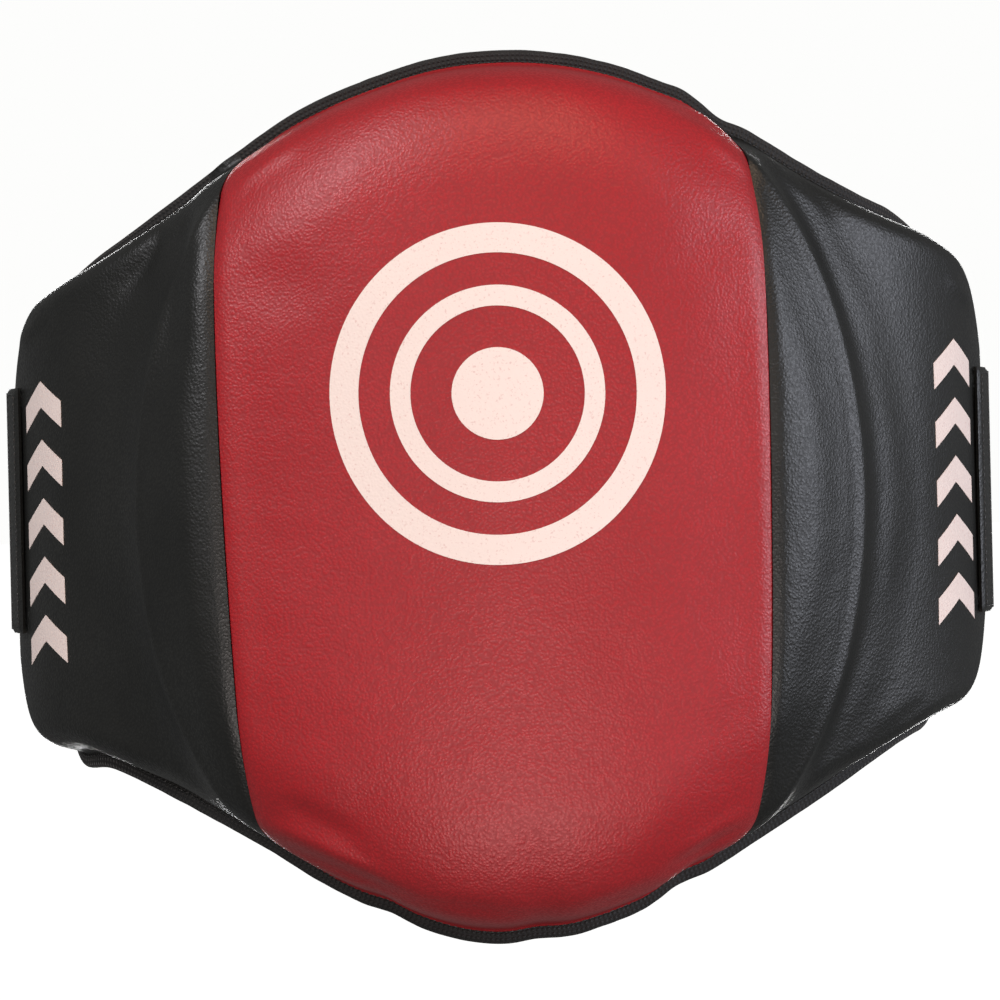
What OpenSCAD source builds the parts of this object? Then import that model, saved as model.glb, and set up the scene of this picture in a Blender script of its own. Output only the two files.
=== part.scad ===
// Trainer's belly pad: a thick striking pad on curved wings, closed behind the waist by a hook-and-loop belt.
// Frame: +Z up, the striking face looks along -Y, the wearer stands on the +Y side.
// The origin is where the middle of the lining meets the wearer.
//
// The pad is laid out flat and then wrapped. A place on it is (s, z, t):
//   s  length along the body side, from the middle, positive towards +X
//   z  height
//   t  depth outwards from the body side

/* [Pad outline] */
// Height of the pad at the middle
pad_h = 400; // [320:1:480]
// Height of the wings
wing_h = 230; // [190:1:270]
// Height of the straight edge at each wing's end
wing_end_h = 120; // [116:1:150]
// Length from the middle to the end of a wing
pad_reach = 266; // [240:1:320]
// Length at which the crown has run down to the wings' height
crown_reach = 228; // [190:1:250]
// Length over which a wing's end corners round off
corner_run = 50; // [30:1:70]

/* [Body curve] */
// Radius of the body side across the belly
belly_r = 300; // [240:1:400]
// Angle that the belly radius covers on each side
belly_angle = 28; // [20:1:34]
// Radius of the body side around the hips
hip_r = 115; // [100:1:150]

/* [Padding] */
// Thickness in the middle of the striking block, covers included
strike_t = 72; // [56:1:90]
// Thickness of the wings, covers included
wing_t = 30; // [22:1:38]
// Thickness of the sewn edge flange
edge_t = 5; // [4:0.5:8]
// Width of the sewn edge flange
flange_w = 7; // [5.5:0.5:10]
// Run over which the wing padding rounds down to the flange
wing_round = 14; // [8:1:24]
// Run over which the padding rounds down at a wing's end
end_round = 12; // [8:1:14]
// Run over which the striking block rounds down to the flange
block_round = 55; // [35:1:70]
// Half width of the striking block at mid height
block_reach = 143; // [120:1:144]
// Radius of the striking block's sides
block_side_r = 380; // [300:1:600]
// Share of the block's rise that its side edge keeps
ridge_share = 0.55; // [0.4:0.05:0.7]
// Run of the block's shoulder inside its side edge
shoulder_run = 60; // [40:1:80]
// Run of the cover outside the block's side edge
foot_run = 38; // [30:1:40]

/* [Layers] */
// Thickness of the synthetic leather covers
skin_t = 1.2; // [0.8:0.1:2]
// Thickness of the back lining
lining_t = 1; // [0.6:0.1:1.6]
// Depth of the comfort foam's outer face
comfort_t = 13; // [8:1:18]
// Thickness of the binding tape
tape_t = 0.8; // [0.5:0.1:1.2]
// Thickness of printed ink
ink_t = 0.25; // [0.2:0.05:0.6]
// Clearance between neighbouring layers
layer_gap = 0.25; // [0.2:0.05:0.4]
// Depth left for the wadding under the covers
wadding = 1.5; // [1:0.1:3]
// Half of the gap between panels that meet at a seam or a flex line
seam_gap = 0.3; // [0.2:0.1:0.6]

/* [Seams] */
// Half width of the centre panel at mid height
seam_reach = 100; // [80:1:110]
// How much wider the centre panel is at its corners, on each side
seam_flare = 13; // [0:1:18]
// Length from the middle to the line where a wing flexes
flex_reach = 183; // [182:1:200]

/* [Marks] */
// Outer radius of the strike target
target_r = 74; // [50:1:90]
// Width of the strike target's rings
target_ring_w = 13; // [6:1:18]
// Radius of the strike target's disc
target_disc_r = 20; // [10:1:28]
// Height of the strike target's middle
target_z = 46; // [0:1:70]
// Number of chevrons on each wing
chevrons = 5; // [3:1:7]
// Height between chevrons
chevron_pitch = 27; // [22:1:32]
// Width of a chevron
chevron_w = 32; // [20:1:36]
// Thickness of a chevron's arms
chevron_arm = 12; // [5:1:14]
// Distance from the belt's root to the chevrons
chevron_back = 5; // [2:1:20]

/* [Belt] */
// Width of the belt
belt_w = 115; // [90:1:116]
// Length of belt sewn to the wing's outer face
root_len = 17; // [12:1:18]
// Distance from a wing's end to the line where the belt leaves it
root_back = 20; // [18:1:26]
// Thickness of the belt's lining
belt_lining_t = 0.9; // [0.6:0.1:1.4]
// Thickness of the belt's webbing
webbing_t = 1.7; // [1:0.1:2.5]
// Length of the elastic panels
elastic_len = 75; // [50:1:100]
// Length of elastic that is sewn between the belt's layers
elastic_tuck = 12; // [8:1:20]
// Width of the binding on the belt's edges
belt_binding_w = 8; // [5:0.5:10]
// Radius of the belt's end corners
belt_corner_r = 22; // [12:1:40]

/* [Closure] */
// Distance from the lining to the inside of the belt at the back
loop_depth = 262; // [240:1:300]
// Radius of the belt across the back
back_r = 430; // [330:1:600]
// Distance of the hook and loop patches from the belt's edges
patch_in = 10; // [9:0.5:20]
// Length of the loop patch
loop_len = 180; // [110:1:190]
// Length of the hook patch
hook_len = 80; // [50:1:95]
// Thickness of the loop patch
loop_t = 2; // [1.5:0.1:3]
// Thickness of the hook patch
hook_t = 1.6; // [1:0.1:2.5]
// Clearance between closed hooks and loops
closure_gap = 0.4; // [0.3:0.1:1]
// Distance by which the left belt stops short of the middle of the back
left_stop = 12; // [10:1:30]
// Distance of the peel line from the middle of the back
peel_at = 12; // [5:1:40]
// Length of the hook flap past the middle of the back
flap_reach = 108; // [90:1:130]
// Width of the pull tab
tab_w = 50; // [30:1:60]
// Length of the pull tab
tab_len = 30; // [20:1:45]

/* [Hidden] */

RED = "#ab3a3f";
BLACK = "#2b2b2a";
INK = "#e9dedb";
FOAM_GREY = "#55585c";
FOAM_BLUE = "#3f5f8f";
FOAM_CREAM = "#d8cfae";
TAPE = "#161616";
CLOTH = "#1f2022";

belt_t = belt_lining_t + webbing_t + skin_t + 2 * layer_gap;
foam_inset = flange_w + 5;
block_inset = flange_w + 9;
root_reach = pad_reach - root_back;
root_in = root_reach - root_len;
chevron_reach = root_in - chevron_back;
patch_w = belt_w - 2 * patch_in;

// ---------- shaping helpers ----------

function mix(a, b, k) = a + (b - a) * k;
function arc_deg(length, radius) = length / radius * 180 / PI;
function arc_len(angle, radius) = angle * PI / 180 * radius;
// Rises from 0 to 1 along a quarter of an ellipse.
function bulge(d, run) = d <= 0 ? 0 : d >= run ? 1 : sqrt(1 - pow(1 - d / run, 2));

// ---------- the pad's body side, seen from above ----------

belly_len = arc_len(belly_angle, belly_r);
function heading(a) =
    a < belly_len ? arc_deg(a, belly_r) : belly_angle + arc_deg(a - belly_len, hip_r);
function hip_side(a) = let (h = heading(a)) a < belly_len
    ? [belly_r * sin(h), belly_r * (1 - cos(h))]
    : [
        belly_r * sin(belly_angle) + hip_r * (sin(h) - sin(belly_angle)),
        belly_r * (1 - cos(belly_angle)) + hip_r * (cos(belly_angle) - cos(h))
    ];
function pad_point(s, z, t) =
    let (a = abs(s), side = s < 0 ? -1 : 1, h = heading(a), p = hip_side(a))
    [side * (p.x + t * sin(h)), p.y - t * cos(h), z];

// ---------- the pad's outline and thickness ----------

function crown(a) =
    wing_h / 2 + (pad_h - wing_h) / 4 * (1 + cos(180 * min(1, a / crown_reach)));
corner_from = pad_reach - corner_run;
function half_h(s) =
    let (a = abs(s), k = max(0, (a - corner_from) / corner_run))
    crown(a) - (crown(pad_reach) - wing_end_h / 2) * k * k;
// Fall of the outline per length at a, and how much longer a step in from the edge is when taken along z.
function edge_slope(a) = (half_h(a + 1) - half_h(max(0, a - 1))) / 2;
function edge_stretch(s) = min(2, sqrt(1 + pow(edge_slope(abs(s)), 2)));
function block_edge(z) = block_reach - block_side_r + sqrt(pow(block_side_r, 2) - z * z);
// Height of the block above the wings as a share, at a distance inside its side edge.
function block_rise(d) =
    d <= -foot_run ? 0 :
    d < 0 ? ridge_share * pow(1 + d / foot_run, 2) :
    d < shoulder_run ? 1 - (1 - ridge_share) * pow(1 - d / shoulder_run, 2) : 1;
function thick(s, z) =
    let (
        a = abs(s),
        from_edge = (half_h(a) - abs(z)) / edge_stretch(a) - flange_w,
        from_end = pad_reach - a - flange_w
    )
    edge_t
    + (wing_t - edge_t) * bulge(from_edge, wing_round) * bulge(from_end, end_round)
    + (strike_t - wing_t) * bulge(from_edge, block_round) * block_rise(block_edge(z) - a);
function seam_at(z) = seam_reach + seam_flare * pow(z / (pad_h / 2), 2);

// ---------- lofted solids ----------

// A closed solid between two grids of points, each of rows x cols.
module loft(rows, cols, low, high) {
    n = rows * cols;
    function at(i, j) = i * cols + j;
    function quad(a, b, c, d) = [[a, b, c], [a, c, d]];
    faces = [
        for (i = [0:rows - 2], j = [0:cols - 2]) each concat(
            quad(at(i, j), at(i + 1, j), at(i + 1, j + 1), at(i, j + 1)),
            quad(n + at(i, j), n + at(i, j + 1), n + at(i + 1, j + 1), n + at(i + 1, j))
        ),
        for (i = [0:rows - 2]) each concat(
            quad(at(i, 0), n + at(i, 0), n + at(i + 1, 0), at(i + 1, 0)),
            quad(at(i + 1, cols - 1), n + at(i + 1, cols - 1), n + at(i, cols - 1), at(i, cols - 1))
        ),
        for (j = [0:cols - 2]) each concat(
            quad(at(0, j + 1), n + at(0, j + 1), n + at(0, j), at(0, j)),
            quad(at(rows - 1, j), n + at(rows - 1, j), n + at(rows - 1, j + 1), at(rows - 1, j + 1))
        )
    ];
    polyhedron(points = concat(low, high), faces = faces);
}

// Distances in from the outline, close together where the padding rounds down over a run.
function shoulder_steps(inset, run) = concat(
    [inset], inset < flange_w ? [flange_w] : [],
    [for (k = [0.04, 0.14, 0.32, 0.6, 1.05]) if (flange_w + k * run > inset + 1.5) flange_w + k * run]
);
// The same for lengths along the pad: even steps, then closer ones up to a wing's end.
function wing_lengths(to) = concat(
    steps_between(flex_reach + seam_gap, pad_reach - flange_w - 1.05 * end_round, 8),
    [for (k = [0.6, 0.32, 0.14]) pad_reach - flange_w - k * end_round],
    to > pad_reach - flange_w ? [pad_reach - flange_w, to] : []
);
function even(n) = [for (i = [0:n]) i / n];
function shares_of(lengths) = [for (s = lengths) (s - lengths[0]) / (lengths[len(lengths) - 1] - lengths[0])];
// Lengths from one flex line to the other, closer together round the hips.
function body_lengths() = let (
    hip = steps_between(belly_len, flex_reach - seam_gap, 8),
    half = concat(steps_between(0, belly_len, 14), [for (i = [1:len(hip) - 1]) hip[i]]),
    n = len(half) - 1
) concat([for (i = [n:-1:1]) -half[i]], half);
function steps_between(a, b, step) =
    let (n = max(1, ceil((b - a) / step))) [for (i = [0:n]) mix(a, b, i / n)];

// A layer of the pad between depths t0 and t1.
// lines: side lines s(z), from one side edge to the other. shares: places along them, 0 to 1 for each span.
// steps: distances in from the outline. inner: number of parts in between.
module pad_layer(lines, shares, steps, inner, t0, t1) {
    last = len(steps) - 1;
    columns = concat(
        [for (k = [0:last]) [-1, steps[k]]],
        inner > 1 ? [for (k = [1:inner - 1]) [2 * k / inner - 1, steps[last]]] : [],
        [for (k = [last:-1:0]) [1, steps[k]]]
    );
    function along(u, z) = let (k = min(len(lines) - 2, floor(u))) mix(lines[k](z), lines[k + 1](z), u - k);
    function room(s) = min(1, 0.9 * half_h(s) / (steps[last] * edge_stretch(s) + 0.01));
    function height(s, c) = c[0] * (half_h(s) - room(s) * c[1] * edge_stretch(s));
    function place(u, c) = let (z0 = height(along(u, 0), c), s = along(u, z0)) [s, height(s, c)];
    function face(depth) = [
        for (u = shares, c = columns) let (q = place(u, c)) pad_point(q.x, q.y, depth(q.x, q.y))
    ];
    loft(len(shares), len(columns), face(t0), face(t1));
}

// A folded tape round an edge: rings of a C section, at places [along, z] with inward directions.
module folded_tape(places, inward, width, t0, t1, point) {
    outer = layer_gap + tape_t;
    section = [
        [-outer, t0 - outer], [width, t0 - outer], [width, t0 - layer_gap], [-layer_gap, t0 - layer_gap],
        [-layer_gap, t1 + layer_gap], [width, t1 + layer_gap], [width, t1 + outer], [-outer, t1 + outer],
    ];
    sides = len(section);
    last = (len(places) - 1) * sides;
    points = [
        for (i = [0:len(places) - 1], c = section)
            point(places[i].x + c.x * inward[i].x, places[i].y + c.x * inward[i].y, c.y)
    ];
    faces = [
        for (i = [0:len(places) - 2], k = [0:sides - 1]) let (
            a = i * sides + k, b = i * sides + (k + 1) % sides
        ) each [[a, a + sides, b + sides], [a, b + sides, b]],
        for (cap = [[0, 1, 2], [0, 2, 3], [0, 3, 7], [7, 3, 4], [7, 4, 6], [4, 5, 6]])
            each [cap, [last + cap[2], last + cap[1], last + cap[0]]]
    ];
    polyhedron(points = points, faces = faces);
}

// ---------- the centre of the pad ----------

function outer_face(s, z) = thick(s, z);
function under_skin(s, z) = thick(s, z) - skin_t;
function under_wadding(s, z) = thick(s, z) - skin_t - wadding;
core_t = wing_t - skin_t - wadding;

module front_centre_panel() {
    color(RED) pad_layer(
        [function (z) -seam_at(z), function (z) seam_at(z)], even(14), shoulder_steps(0, block_round), 4,
        function (s, z) under_skin(s, z), function (s, z) outer_face(s, z)
    );
}

module front_shoulder() {
    color(BLACK) pad_layer(
        [
            function (z) seam_at(z) + 2 * seam_gap,
            function (z) max(seam_at(z) + 8, block_edge(z)),
            function (z) flex_reach - seam_gap
        ],
        [for (i = [0:10]) i / 5], shoulder_steps(0, block_round), 4,
        function (s, z) under_skin(s, z), function (s, z) outer_face(s, z)
    );
}

// The foam's places along its length match those of the covers over it.
module strike_foam() {
    function side(z) = block_edge(z) - layer_gap;
    function seam(z) = min(seam_at(z), side(z) - 3);
    color(FOAM_GREY) pad_layer(
        [function (z) -side(z), function (z) -seam(z), function (z) seam(z), function (z) side(z)],
        concat([for (i = [0:4]) i / 5], [for (i = [0:14]) 1 + i / 14], [for (i = [1:5]) 2 + i / 5]),
        shoulder_steps(block_inset, block_round), 4,
        function (s, z) core_t + 2 * layer_gap, function (s, z) max(core_t + 2, under_wadding(s, z))
    );
}

module core_foam() {
    color(FOAM_BLUE) pad_layer(
        [function (z) 1 - flex_reach, function (z) flex_reach - 1], even(20),
        shoulder_steps(foam_inset, wing_round), 2,
        function (s, z) comfort_t + layer_gap, function (s, z) min(core_t, under_wadding(s, z) - wadding)
    );
}

module comfort_foam() {
    color(FOAM_CREAM) pad_layer(
        [function (z) 1 - flex_reach, function (z) flex_reach - 1], even(20), [foam_inset], 1,
        function (s, z) lining_t + 2 * layer_gap, function (s, z) comfort_t
    );
}

module back_lining() {
    color(CLOTH) pad_layer(
        [function (z) seam_gap - flex_reach, function (z) flex_reach - seam_gap],
        shares_of(body_lengths()), [0], 1,
        function (s, z) 0, function (s, z) lining_t
    );
}

// A place [s, z] on the outline's top edge, and the direction inwards from it.
function edge_place(s) = [s, half_h(s)];
function edge_inward(s) = [sign(s) * edge_slope(abs(s)), -1] / edge_stretch(s);
// Inward direction where two edges meet.
function mitre(a, b) = (a + b) / (1 + a * b);

module edge_binding(lengths) {
    color(TAPE) folded_tape(
        [for (s = lengths) edge_place(s)], [for (s = lengths) edge_inward(s)],
        flange_w - 1, 0, edge_t, function (s, z, t) pad_point(s, z, t)
    );
}

module binding_top() edge_binding(body_lengths());
module binding_bottom() mirror([0, 0, 1]) binding_top();

// ---------- the wings ----------

module wing_layer(to, steps, inner, t0, t1) {
    lengths = wing_lengths(to);
    from = lengths[0];
    end = lengths[len(lengths) - 1];
    pad_layer([function (z) from, function (z) end], shares_of(lengths), steps, inner, t0, t1);
}

module wing_cover() {
    color(BLACK) wing_layer(
        pad_reach, shoulder_steps(0, wing_round), 2,
        function (s, z) under_skin(s, z), function (s, z) outer_face(s, z)
    );
}

module wing_foam() {
    color(FOAM_CREAM) wing_layer(
        0, shoulder_steps(foam_inset, wing_round), 2,
        function (s, z) lining_t + 2 * layer_gap, function (s, z) under_wadding(s, z)
    );
}

module wing_lining() {
    color(CLOTH) wing_layer(pad_reach, [0], 1, function (s, z) 0, function (s, z) lining_t);
}

// Tape along a wing's top edge, down its end and back along the bottom edge.
module wing_binding() {
    lengths = wing_lengths(pad_reach);
    n = len(lengths) - 1;
    top_in = [
        for (i = [0:n]) i < n ? edge_inward(lengths[i]) : mitre(edge_inward(pad_reach - 1), [-1, 0])
    ];
    places = concat(
        [for (s = lengths) edge_place(s)], [[pad_reach, 0]],
        [for (i = [n:-1:0]) [lengths[i], -half_h(lengths[i])]]
    );
    inward = concat(top_in, [[-1, 0]], [for (i = [n:-1:0]) [top_in[i].x, -top_in[i].y]]);
    color(TAPE) folded_tape(
        places, inward, flange_w - 1, 0, edge_t, function (s, z, t) pad_point(s, z, t)
    );
}

// ---------- printed marks ----------

ink_rise = layer_gap;

// A flat shape given by pairs of edge points [s, z], laid on the outer face.
module ink_band(left, right, closed) {
    n = len(left);
    rows = closed ? n + 1 : n;
    function face(extra) = [
        for (i = [0:rows - 1], p = [left[i % n], right[i % n]])
            pad_point(p.x, p.y, thick(p.x, p.y) + ink_rise + extra)
    ];
    low = face(0);
    high = face(ink_t);
    if (closed) closed_band(n, low, high);
    else loft(rows, 2, low, high);
}

// A ring-shaped solid from the points of ink_band.
module closed_band(n, low, high) {
    m = 2 * (n + 1);
    function l(i) = 2 * (i % n);
    function r(i) = 2 * (i % n) + 1;
    function quad(a, b, c, d) = [[a, b, c], [a, c, d]];
    faces = [for (i = [0:n - 1]) each concat(
        quad(l(i), l(i + 1), r(i + 1), r(i)),
        quad(m + l(i), m + r(i), m + r(i + 1), m + l(i + 1)),
        quad(l(i), m + l(i), m + l(i + 1), l(i + 1)),
        quad(r(i + 1), m + r(i + 1), m + r(i), r(i))
    )];
    polyhedron(points = concat(low, high), faces = faces);
}

function circle_points(r, steps) =
    let (shrink = belly_r / (belly_r + strike_t))
    [for (i = [0:steps - 1]) let (a = 360 * i / steps) [shrink * r * cos(a), target_z + r * sin(a)]];

module strike_target_print() {
    ring_steps = 40;
    color(INK) {
        ink_band(
            circle_points(target_r, ring_steps), circle_points(target_r - target_ring_w, ring_steps), true
        );
        disc = circle_points(target_disc_r, 16);
        half = len(disc) / 2;
        ink_band([for (i = [1:half - 1]) disc[i]], [for (i = [1:half - 1]) disc[2 * half - i]], false);
    }
}

module wing_print() {
    color(INK) for (i = [0:chevrons - 1]) {
        z0 = (i - (chevrons - 1) / 2) * chevron_pitch;
        across = [for (k = [0:4]) k / 4];
        low = [for (k = across) [chevron_reach - chevron_w * (1 - k), z0 - abs(2 * k - 1) * chevron_w / 3]];
        ink_band(low, [for (p = low) [p.x, p.y + chevron_arm]], false);
    }
}

// ---------- the belt's path, seen from above ----------

// The inner face of the belt leaves the wing's outer face, bends round the side and meets a circle at the back.
leave_angle = heading(root_reach);
leave = pad_point(root_reach, 0, wing_t + layer_gap);
back_centre = [0, loop_depth - back_r];
lap = belt_t + loop_t + hook_t + 2 * layer_gap + closure_gap;

// Radius of the side bend for a back circle of radius r.
function side_r(r) =
    let (d = [leave.x, leave.y] - back_centre, n = [-sin(leave_angle), cos(leave_angle)])
    (r * r - d * d) / (2 * (n * d + r));
function side_centre(r) = [leave.x, leave.y] + side_r(r) * [-sin(leave_angle), cos(leave_angle)];
function join_angle(r) = let (c = side_centre(r) - back_centre) atan2(c.x, -c.y);
function side_len(r) = arc_len(join_angle(r) - leave_angle, side_r(r));
function half_len(r) = side_len(r) + arc_len(180 - join_angle(r), r);
// A point at length q from the wing, height z and depth t outwards, on the belt that has back radius r.
function belt_point(r, q, z, t) =
    q < side_len(r)
        ? let (h = leave_angle + arc_deg(q, side_r(r)), c = side_centre(r), d = side_r(r) + t)
            [c.x + d * sin(h), c.y - d * cos(h), z]
        : let (h = join_angle(r) + arc_deg(q - side_len(r), r), d = r + t)
            [back_centre.x + d * sin(h), back_centre.y - d * cos(h), z];

left_r = back_r;
right_r = back_r + lap;
left_end = half_len(left_r) - left_stop;
peel_from = half_len(right_r) - peel_at;
flap_end = half_len(right_r) + flap_reach;
belt_step = 11;

// Half width of a belt that ends at q_end with rounded corners.
function belt_half(q, q_end, width, corner) =
    let (k = max(0, q - (q_end - corner)) / corner) width / 2 - corner * (1 - sqrt(max(0, 1 - k * k)));
// Places along a belt from a to b, closer together round the end corners.
function belt_stations(a, b, corner) = corner == 0
    ? steps_between(a, b, belt_step)
    : concat(steps_between(a, b - corner, belt_step), [for (w = [22.5:22.5:90]) b - corner * (1 - sin(w))]);

module ribbon(r, a, b, width, corner, t0, t1) {
    stations = belt_stations(a, b, corner);
    function face(t) = [
        for (q = stations, side = [-1, 1])
            belt_point(r, q, side * (corner == 0 ? width / 2 : belt_half(q, b, width, corner)), t)
    ];
    loft(len(stations), 2, face(t0), face(t1));
}

module belt_lining(r, a, b, corner) {
    color(CLOTH) ribbon(r, a, b, belt_w, corner, 0, belt_lining_t);
}

module belt_webbing(r, a, b, corner) {
    color(TAPE) ribbon(
        r, a, b - (corner == 0 ? 0 : 2), belt_w - 4, corner,
        belt_lining_t + layer_gap, belt_lining_t + layer_gap + webbing_t
    );
}

module belt_outer(r, a, b, corner) {
    color(BLACK) ribbon(r, a, b, belt_w, corner, belt_t - skin_t, belt_t);
}

module elastic(r) {
    color(CLOTH) ribbon(
        r, seam_gap, elastic_len + elastic_tuck, belt_w - 2, 0,
        belt_lining_t + layer_gap, belt_lining_t + layer_gap + webbing_t
    );
}

// Tape along one long edge of a belt, without an end.
module belt_edge_tape(r, a, b) {
    stations = steps_between(a, b, belt_step);
    color(TAPE) for (side = [0, 1]) mirror([0, 0, side]) folded_tape(
        [for (q = stations) [q, belt_w / 2]], [for (q = stations) [0, -1]],
        belt_binding_w, 0, belt_t, function (q, z, t) belt_point(r, q, z, t)
    );
}

// Tape along the top edge of a belt, round its end and back along the bottom edge.
module belt_end_tape(r, a, b, corner) {
    straight = steps_between(a, b - corner, belt_step);
    upper = concat(
        [for (q = straight) [q, belt_w / 2]],
        [for (w = [22.5:22.5:90]) [b - corner + corner * sin(w), belt_w / 2 - corner + corner * cos(w)]]
    );
    upper_in = concat([for (q = straight) [0, -1]], [for (w = [22.5:22.5:90]) [-sin(w), -cos(w)]]);
    n = len(upper) - 1;
    color(TAPE) folded_tape(
        concat(upper, [for (i = [n:-1:0]) [upper[i].x, -upper[i].y]]),
        concat(upper_in, [for (i = [n:-1:0]) [upper_in[i].x, -upper_in[i].y]]),
        belt_binding_w, 0, belt_t, function (q, z, t) belt_point(r, q, z, t)
    );
}

// ---------- the belt's pieces ----------

module belt_root() {
    lengths = steps_between(root_in, root_reach - seam_gap, 5);
    function face(t) = [for (s = lengths, side = [-1, 1]) pad_point(s, side * belt_w / 2, wing_t + t)];
    color(BLACK) loft(len(lengths), 2, face(layer_gap), face(layer_gap + belt_t));
}

module left_belt(part) {
    from = elastic_len;
    mirror([1, 0, 0]) {
        if (part == "outer") belt_outer(left_r, from, left_end, belt_corner_r);
        if (part == "webbing") belt_webbing(
            left_r, from + elastic_tuck + layer_gap, left_end, belt_corner_r
        );
        if (part == "lining") belt_lining(left_r, from, left_end, belt_corner_r);
        if (part == "binding") belt_end_tape(left_r, from, left_end, belt_corner_r);
    }
}

module loop_patch() {
    patch_end = left_end - belt_binding_w - 2;
    color(CLOTH) mirror([1, 0, 0]) ribbon(
        left_r, patch_end - loop_len, patch_end, patch_w, 12, belt_t + layer_gap, belt_t + layer_gap + loop_t
    );
}

module right_belt(part) {
    from = elastic_len;
    to = peel_from - seam_gap;
    if (part == "outer") belt_outer(right_r, from, to, 0);
    if (part == "webbing") belt_webbing(right_r, from + elastic_tuck + layer_gap, to, 0);
    if (part == "lining") belt_lining(right_r, from, to, 0);
    if (part == "binding") belt_edge_tape(right_r, from, to);
}

module flap(part) {
    from = peel_from + seam_gap;
    if (part == "outer") belt_outer(right_r, from, flap_end, belt_corner_r);
    if (part == "webbing") belt_webbing(right_r, from, flap_end, belt_corner_r);
    if (part == "lining") belt_lining(right_r, from, flap_end, belt_corner_r);
    if (part == "binding") belt_end_tape(right_r, from, flap_end, belt_corner_r);
}

module hook_patch() {
    patch_end = flap_end - belt_binding_w - 2;
    color(TAPE) ribbon(right_r, patch_end - hook_len, patch_end, patch_w, 12, -layer_gap - hook_t, -layer_gap);
}

// A webbing tab on the flap's outer face, sewn down over its first part.
module pull_tab() {
    from = flap_end - tab_len / 2;
    lift = belt_t + 2 * layer_gap + tape_t;
    color(TAPE) ribbon(right_r, from, from + tab_len, tab_w, 8, lift, lift + webbing_t);
}

// ---------- nodes ----------

front_centre_panel();
mirror([1, 0, 0]) front_shoulder();  // front_left_shoulder
front_shoulder();  // front_right_shoulder
strike_target_print();
strike_foam();
core_foam();
comfort_foam();
back_lining();
binding_top();
binding_bottom();

mirror([1, 0, 0]) wing_cover();  // left_wing_cover
mirror([1, 0, 0]) wing_foam();  // left_wing_foam
mirror([1, 0, 0]) wing_lining();  // left_wing_lining
mirror([1, 0, 0]) wing_binding();  // left_wing_binding
mirror([1, 0, 0]) wing_print();  // left_wing_print
mirror([1, 0, 0]) belt_root();  // left_belt_root

wing_cover();  // right_wing_cover
wing_foam();  // right_wing_foam
wing_lining();  // right_wing_lining
wing_binding();  // right_wing_binding
wing_print();  // right_wing_print
belt_root();  // right_belt_root

mirror([1, 0, 0]) elastic(left_r);  // left_elastic
left_belt("outer");  // left_belt_outer
left_belt("webbing");  // left_belt_webbing
left_belt("lining");  // left_belt_lining
left_belt("binding");  // left_belt_binding
loop_patch();

elastic(right_r);  // right_elastic
right_belt("outer");  // right_belt_outer
right_belt("webbing");  // right_belt_webbing
right_belt("lining");  // right_belt_lining
right_belt("binding");  // right_belt_binding

flap("outer");  // flap_outer
flap("webbing");  // flap_webbing
flap("lining");  // flap_lining
flap("binding");  // flap_binding
hook_patch();
pull_tab();
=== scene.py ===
import math

import bpy
import numpy as np
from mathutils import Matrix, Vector


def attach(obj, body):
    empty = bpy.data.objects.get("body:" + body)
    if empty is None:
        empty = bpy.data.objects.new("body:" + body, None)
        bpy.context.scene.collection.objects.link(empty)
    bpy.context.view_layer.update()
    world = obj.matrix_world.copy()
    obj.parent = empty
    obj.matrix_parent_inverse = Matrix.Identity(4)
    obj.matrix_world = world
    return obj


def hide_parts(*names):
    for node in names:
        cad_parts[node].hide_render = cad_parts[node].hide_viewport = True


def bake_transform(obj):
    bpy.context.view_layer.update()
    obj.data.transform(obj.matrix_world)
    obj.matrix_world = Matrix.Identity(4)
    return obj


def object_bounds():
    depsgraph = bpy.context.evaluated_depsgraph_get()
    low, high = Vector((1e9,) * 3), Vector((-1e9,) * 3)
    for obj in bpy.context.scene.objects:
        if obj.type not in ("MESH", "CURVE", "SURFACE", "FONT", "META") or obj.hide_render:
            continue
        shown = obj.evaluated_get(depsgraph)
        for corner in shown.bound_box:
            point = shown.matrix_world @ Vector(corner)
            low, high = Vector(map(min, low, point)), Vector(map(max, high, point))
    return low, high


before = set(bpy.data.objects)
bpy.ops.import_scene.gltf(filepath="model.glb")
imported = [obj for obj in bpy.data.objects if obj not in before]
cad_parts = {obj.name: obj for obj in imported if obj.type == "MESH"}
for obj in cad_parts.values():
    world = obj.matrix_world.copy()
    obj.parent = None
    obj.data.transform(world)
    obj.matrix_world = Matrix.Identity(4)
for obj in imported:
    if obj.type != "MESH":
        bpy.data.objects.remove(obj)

cad_box = [[float(c) for c in corner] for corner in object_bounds()]


# ---- Camera, floor and light ----
# The pad is seen squarely from in front, 1.9 m away at the height of its middle, and the camera leans
# a little to the right. The room is a pale studio with a wide floor and five softboxes: high on the left,
# at the right, overhead, low in front and behind.
bpy.ops.object.camera_add(location=(0, -1.9, 0), rotation=(math.radians(90), math.radians(1.3), 0))
camera = bpy.context.object
camera.data.lens = 152.7
camera.data.sensor_width = 36
camera.data.clip_end = 400
bpy.context.scene.camera = camera


def hex_colour(code):
    """A hex sRGB colour as linear red, green, blue and alpha."""
    parts = [int(code[i:i + 2], 16) / 255 for i in (1, 3, 5)]
    return [c / 12.92 if c <= 0.04045 else ((c + 0.055) / 1.055) ** 2.4 for c in parts] + [1.0]


def add(tree, kind, inputs=None, **settings):
    """Adds a node to a material, with its settings, and its inputs set to values or linked to sockets."""
    node = tree.nodes.new("ShaderNode" + kind)
    for key, value in settings.items():
        setattr(node, key, value)
    for key, value in (inputs or {}).items():
        if isinstance(value, bpy.types.NodeSocket):
            tree.links.new(value, node.inputs[key])
        else:
            node.inputs[key].default_value = value
    return node


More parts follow.
